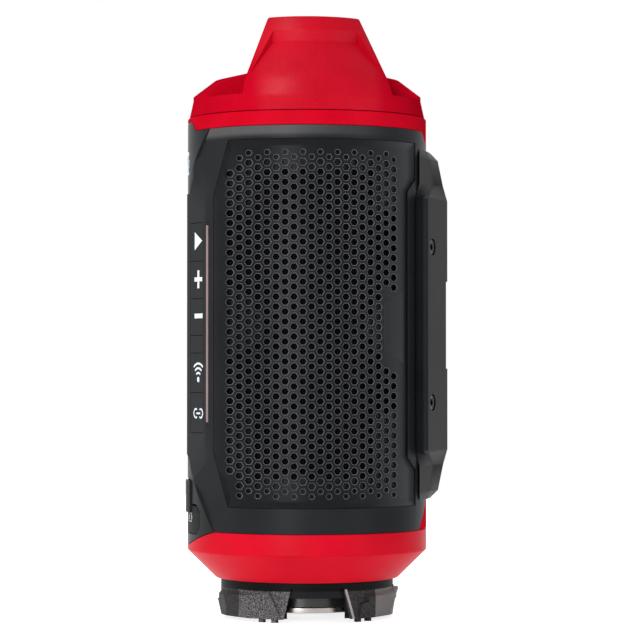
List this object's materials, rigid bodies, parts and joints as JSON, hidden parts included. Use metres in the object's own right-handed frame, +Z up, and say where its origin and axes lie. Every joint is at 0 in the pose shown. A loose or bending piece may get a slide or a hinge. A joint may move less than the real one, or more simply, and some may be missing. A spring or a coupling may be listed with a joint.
{
  "type": "jobsite speaker",
  "caption": "Upright drum-shaped portable wireless speaker with a bridge handle, grilles, a key strip, a side foot bracket and a three-claw magnetic foot.",
  "frame": {"origin": "on the drum's axis, in the plane that the claws stand on", "axes": "+Z up along the drum's axis; front grille faces -Y; key strip on the -X side; foot bracket on the +X side"},
  "size_m": [0.0957, 0.088, 0.2184],
  "materials": {
    "red_plastic": "moulded, fine satin texture",
    "black_plastic": "moulded, fine satin texture",
    "grille_plastic": "moulded, fine grain",
    "bracket_plastic": "moulded, satin",
    "foot_plastic": "glass-filled, coarse speckle",
    "key_rubber": "smooth satin",
    "cover_rubber": "matt rubber",
    "seal_rubber": "matt rubber",
    "light_diffuser": "milky diffuser, unlit",
    "pale_ring": "pale light guide, unlit",
    "nickel_steel": "nickel plated",
    "black_steel": "black oxide",
    "zinc_steel": "zinc plated",
    "ferrite": "sintered ferrite",
    "dust_cloth": "black acoustic cloth",
    "inner_plastic": "moulded, plain",
    "cell_wrap": "shrink sleeve",
    "board_laminate": "solder mask",
    "board_parts": "moulded components",
    "copper_coil": "enamelled copper wire",
    "cone_fibre": "pressed fibre"
  },
  "bodies": {
    "body": {"battery_cells": "cell_wrap", "battery_clip": "inner_plastic", "battery_tray": "inner_plastic", "bottom_cap": "red_plastic", "bottom_cap_screws": "zinc_steel", "bottom_seal": "seal_rubber", "bracket_screws": "black_steel", "charging_board": "board_laminate", "charging_socket": "nickel_steel", "driver_screws": "zinc_steel", "foot_ring": "foot_plastic", "foot_ring_screws": "zinc_steel", "front_baffle": "inner_plastic", "front_bezel": "black_plastic", "front_dust_cloth": "dust_cloth", "front_grille": "grille_plastic", "housing": "red_plastic", "key_board": "board_laminate", "key_switches": "board_parts", "lid_screws": "zinc_steel", "lid_seal": "seal_rubber", "light_strip": "light_diffuser", "lower_driver_basket": "zinc_steel", "lower_driver_cone": "cone_fibre", "lower_driver_dust_cap": "cone_fibre", "lower_driver_magnet": "ferrite", "lower_driver_surround": "seal_rubber", "lower_driver_voice_coil": "copper_coil", "magnet_cup": "nickel_steel", "magnet_screw": "nickel_steel", "main_board": "board_laminate", "main_board_parts": "board_parts", "main_board_screws": "zinc_steel", "power_board": "board_laminate", "power_ring": "pale_ring", "power_switch": "board_parts", "radiator_plate": "inner_plastic", "radiator_surround": "seal_rubber", "rear_baffle": "inner_plastic", "rear_bezel": "black_plastic", "rear_dust_cloth": "dust_cloth", "rear_grille": "grille_plastic", "ring_magnet": "ferrite", "side_bracket": "bracket_plastic", "side_panel": "black_plastic", "status_window": "key_rubber", "top_lid": "red_plastic", "upper_driver_basket": "zinc_steel", "upper_driver_cone": "cone_fibre", "upper_driver_dust_cap": "cone_fibre", "upper_driver_magnet": "ferrite", "upper_driver_surround": "seal_rubber", "upper_driver_voice_coil": "copper_coil"},
    "play_key": {"play_key": "key_rubber"},
    "volume_up_key": {"volume_up_key": "key_rubber"},
    "volume_down_key": {"volume_down_key": "key_rubber"},
    "wireless_key": {"wireless_key": "key_rubber"},
    "link_key": {"link_key": "key_rubber"},
    "power_button": {"power_button": "key_rubber"},
    "port_cover": {"port_cover": "cover_rubber"}
  },
  "joints": [
    {"name": "play_key_press", "type": "slide", "parent": "body", "child": "play_key", "axis": [0.9323, 0.3616, 0], "range_m": [0, 0.0004], "stiffness_N_per_m": 1200},
    {"name": "volume_up_key_press", "type": "slide", "parent": "body", "child": "volume_up_key", "axis": [0.9323, 0.3616, 0], "range_m": [0, 0.0004], "stiffness_N_per_m": 1200},
    {"name": "volume_down_key_press", "type": "slide", "parent": "body", "child": "volume_down_key", "axis": [0.9323, 0.3616, 0], "range_m": [0, 0.0004], "stiffness_N_per_m": 1200},
    {"name": "wireless_key_press", "type": "slide", "parent": "body", "child": "wireless_key", "axis": [0.9323, 0.3616, 0], "range_m": [0, 0.0004], "stiffness_N_per_m": 1200},
    {"name": "link_key_press", "type": "slide", "parent": "body", "child": "link_key", "axis": [0.9323, 0.3616, 0], "range_m": [0, 0.0004], "stiffness_N_per_m": 1200},
    {"name": "power_press", "type": "slide", "parent": "body", "child": "power_button", "axis": [1, 0, 0], "range_m": [0, 0.0005], "stiffness_N_per_m": 1200},
    {"name": "port_cover_hinge", "type": "hinge", "parent": "body", "child": "port_cover", "pos_m": [-0.044, 0, 0.0312], "axis": [0, -1, 0], "range_deg": [0, 110]}
  ]
}
